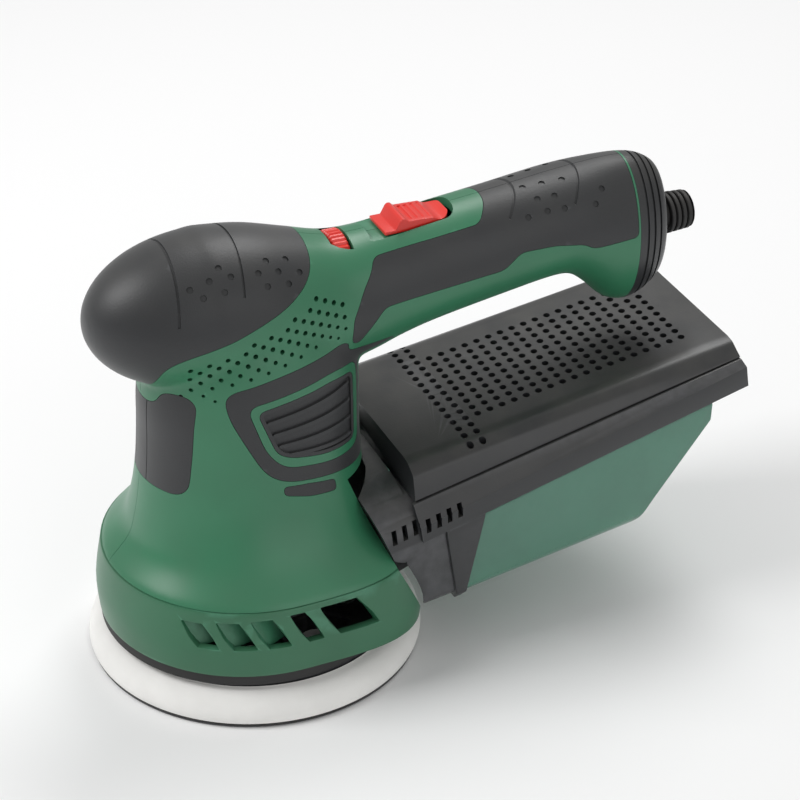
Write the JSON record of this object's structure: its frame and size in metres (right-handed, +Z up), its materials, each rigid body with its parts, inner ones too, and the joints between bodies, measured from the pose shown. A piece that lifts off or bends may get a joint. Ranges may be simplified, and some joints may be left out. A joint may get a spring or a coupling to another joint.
{
  "type": "random orbit sander",
  "caption": "Random orbit sander with a round front knob, a closed rear handle, a perforated dust box and a round foam sanding pad.",
  "frame": {"origin": "on the motor's axis in the plane of the sanding face", "axes": "+Z up along the motor's axis, -Y towards the front knob, +Y towards the dust box, +X to the right of the handle seen from behind"},
  "size_m": [0.125, 0.2448, 0.171],
  "materials": {
    "green_plastic": "satin moulded nylon",
    "dark_green_plastic": "satin moulded nylon",
    "soft_grip": "fine grained soft rubber",
    "black_plastic": "fine grained moulded plastic",
    "red_plastic": "satin moulded plastic",
    "clear_green_plastic": "translucent moulded plastic",
    "foam": "closed cell foam",
    "hook_fabric": "hook layer",
    "rubber": "matt rubber",
    "bearing_steel": "ground steel",
    "laminated_steel": "stacked sheet steel",
    "copper": "enamelled copper",
    "carbon": "pressed carbon",
    "inner_plastic": "glass filled nylon",
    "filter_paper": "pleated paper"
  },
  "bodies": {
    "housing": {"left_housing_shell": "green_plastic", "right_housing_shell": "green_plastic", "base_skirt": "dark_green_plastic", "front_knob_grip": "soft_grip", "neck_pad": "soft_grip", "right_side_grip": "soft_grip", "left_side_grip": "soft_grip", "right_side_insert": "soft_grip", "left_side_insert": "soft_grip", "right_handle_grip": "soft_grip", "left_handle_grip": "soft_grip", "rear_cap": "black_plastic", "cord_gland": "rubber", "stator_core": "laminated_steel", "front_field_coil": "copper", "rear_field_coil": "copper", "left_brush_holder": "black_plastic", "right_brush_holder": "black_plastic", "left_carbon_brush": "carbon", "right_carbon_brush": "carbon", "lower_bearing_outer_ring": "bearing_steel", "upper_bearing_outer_ring": "bearing_steel", "bearing_bridge": "bearing_steel", "switch_body": "black_plastic", "speed_controller": "black_plastic", "housing_screw_1": "bearing_steel", "housing_screw_2": "bearing_steel", "housing_screw_3": "bearing_steel", "housing_screw_4": "bearing_steel", "housing_screw_5": "bearing_steel", "brake_ring": "rubber", "exhaust_duct": "black_plastic", "port_seal": "rubber"},
    "rotor": {"motor_shaft": "bearing_steel", "armature_core": "laminated_steel", "lower_armature_winding": "copper", "upper_armature_winding": "copper", "commutator": "copper", "lower_bearing_inner_ring": "bearing_steel", "upper_bearing_inner_ring": "bearing_steel", "fan_counterweight": "inner_plastic", "pad_bearing_outer_ring": "bearing_steel"},
    "pad": {"pad_bearing_inner_ring": "bearing_steel", "pad_driver": "inner_plastic", "backing_plate": "black_plastic", "foam_pad": "foam", "hook_face": "hook_fabric", "pad_screw_1": "bearing_steel", "pad_screw_2": "bearing_steel", "pad_screw_3": "bearing_steel", "pad_screw_4": "bearing_steel"},
    "slider": {"slide_switch": "red_plastic", "switch_link": "inner_plastic"},
    "dial": {"speed_dial": "red_plastic"},
    "dust_box": {"dust_box_lid": "black_plastic", "dust_box_mouth": "black_plastic", "filter_frame": "black_plastic", "filter_element": "filter_paper"},
    "container": {"dust_container": "clear_green_plastic"}
  },
  "joints": [
    {"name": "rotor_spin", "type": "hinge", "parent": "housing", "child": "rotor", "pos_m": [0, 0, 0.03], "axis": [0, 0, 1], "continuous": true},
    {"name": "pad_spin", "type": "hinge", "parent": "rotor", "child": "pad", "pos_m": [0, 0.002, 0.01], "axis": [0, 0, 1], "continuous": true},
    {"name": "switch_slide", "type": "slide", "parent": "housing", "child": "slider", "axis": [0, -1, 0], "range_m": [0, 0.0045]},
    {"name": "speed_dial_turn", "type": "hinge", "parent": "housing", "child": "dial", "pos_m": [0, 0.0365, 0.1486], "axis": [0, 1, 0], "range_deg": [0, 270]},
    {"name": "dust_box_slide", "type": "slide", "parent": "housing", "child": "dust_box", "axis": [0, 0.9888, 0.1495], "range_m": [0, 0.06]},
    {"name": "container_slide", "type": "slide", "parent": "dust_box", "child": "container", "axis": [0, 0.9888, 0.1495], "range_m": [0, 0.1]}
  ]
}
